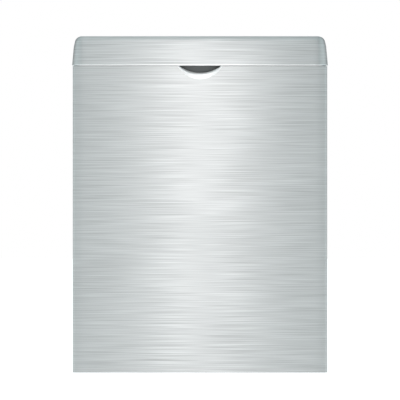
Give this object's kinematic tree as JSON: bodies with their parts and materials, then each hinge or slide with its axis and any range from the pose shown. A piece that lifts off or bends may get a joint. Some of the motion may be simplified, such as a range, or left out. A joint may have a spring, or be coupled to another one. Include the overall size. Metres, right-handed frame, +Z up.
{
  "type": "wall-mounted waste bin",
  "caption": "Flat-fronted rectangular sheet-steel waste bin that hangs on a wall, with a shallow hinged cover, a finger scoop and a lift-out liner with a bail.",
  "frame": {"origin": "centre of the four wall-screw holes, on the back face", "axes": "+Z up, +Y into the wall, +X to the right of a person who faces the bin"},
  "size_m": [0.1936, 0.0967, 0.254],
  "materials": {
    "brushed_steel": "horizontal satin grain",
    "cover_steel": "horizontal satin grain on a drawn cover",
    "mill_steel": "mill finish with spot welds",
    "hinge_steel": "tumbled",
    "pin_steel": "drawn wire",
    "bumper_rubber": "moulded, matt",
    "liner_plastic": "moulded, fine grain",
    "bail_wire": "drawn wire",
    "grip_plastic": "moulded, matt"
  },
  "bodies": {
    "housing": {"body_wrap": "brushed_steel", "back_plate": "mill_steel", "bottom_pan": "mill_steel", "mount_strap_upper": "mill_steel", "mount_strap_lower": "mill_steel", "guide_rail_left": "mill_steel", "guide_rail_right": "mill_steel", "body_hinge_leaf": "hinge_steel", "hinge_pin": "pin_steel", "bumper_left": "bumper_rubber", "bumper_right": "bumper_rubber", "rest_pads": "bumper_rubber"},
    "cover_assembly": {"cover": "cover_steel", "cover_hinge_leaf": "hinge_steel", "cover_stop_left": "mill_steel", "cover_stop_right": "mill_steel"},
    "liner_tub": {"liner": "liner_plastic"},
    "bail": {"liner_bail": "bail_wire", "bail_grip": "grip_plastic", "bail_clip_left": "bail_wire", "bail_clip_right": "bail_wire"}
  },
  "joints": [
    {"name": "cover_hinge", "type": "hinge", "parent": "housing", "child": "cover_assembly", "pos_m": [0, -0.0032, 0.1308], "axis": [-1, 0, 0], "range_deg": [0, 88]},
    {"name": "liner_lift", "type": "slide", "parent": "housing", "child": "liner_tub", "axis": [0, 0, 1], "range_m": [0, 0.012]},
    {"name": "bail_swing", "type": "hinge", "parent": "liner_tub", "child": "bail", "pos_m": [0, -0.049, 0.0897], "axis": [-1, 0, 0], "range_deg": [0, 180]}
  ]
}
